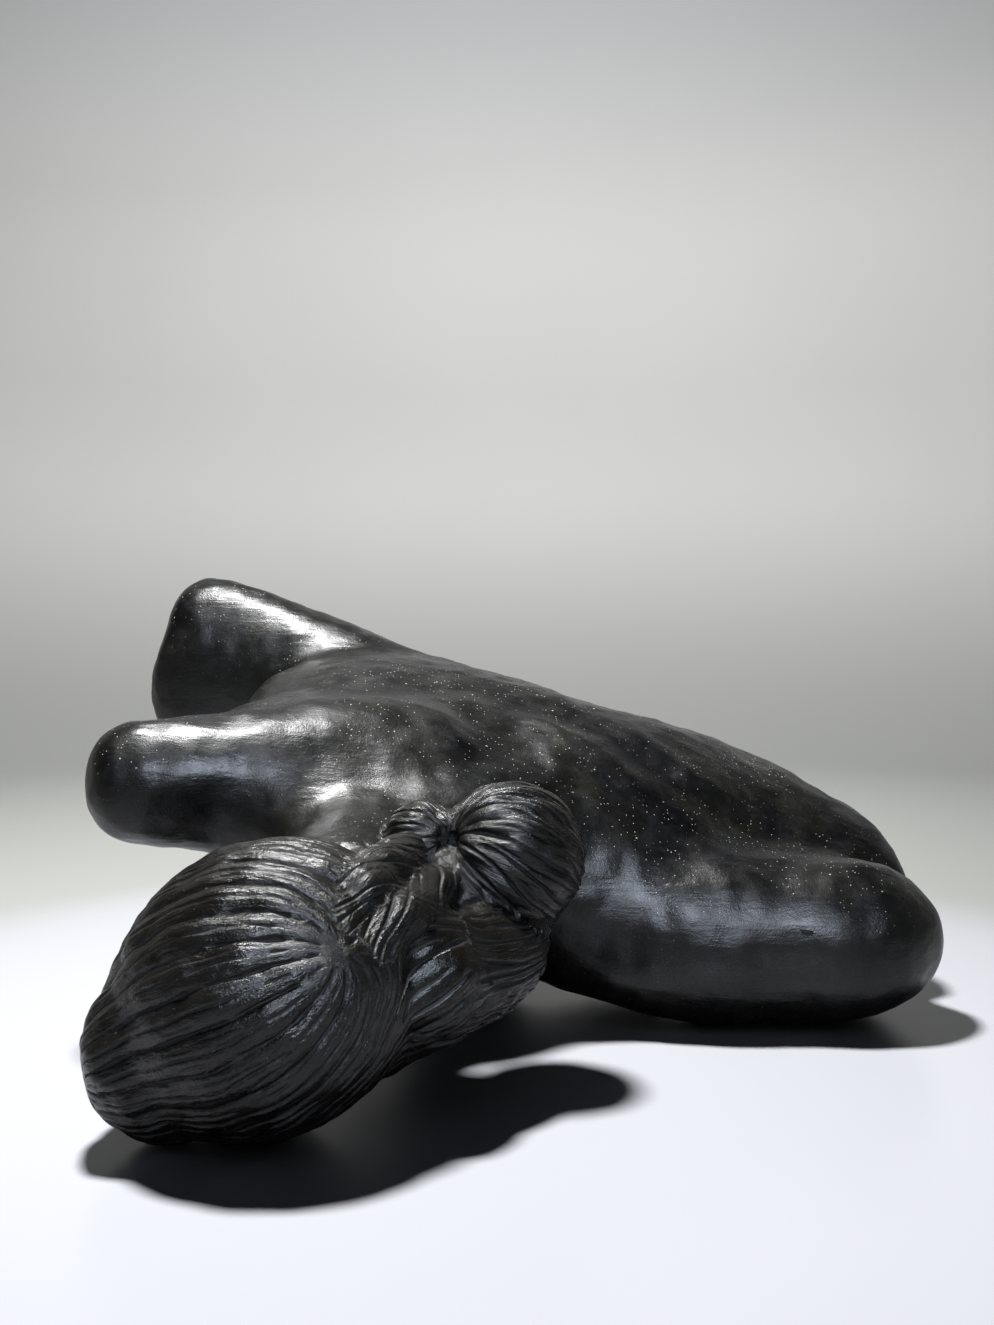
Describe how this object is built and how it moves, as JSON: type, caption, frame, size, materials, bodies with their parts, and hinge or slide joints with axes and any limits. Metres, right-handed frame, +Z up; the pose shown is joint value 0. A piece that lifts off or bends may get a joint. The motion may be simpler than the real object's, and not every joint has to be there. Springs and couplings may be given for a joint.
{
  "type": "ceramic female bust",
  "caption": "Black burnished ceramic head and torso of a woman lying on the front, arms cut short, head thrown back to one side, hair wound in a bun.",
  "frame": {"origin": "centre of the bounding box in plan, on the plane that the figure lies on", "axes": "+X from the arm stumps to the hips, which is the longest extent; +Z up; the back is turned up and towards -Y and the head lies at -Y"},
  "size_m": [0.4296, 0.4006, 0.2243],
  "materials": {
    "clay": "smoke-fired black, burnished by hand, mottled olive and grey"
  },
  "bodies": {
    "root": {"figure": "clay"}
  },
  "joints": []
}
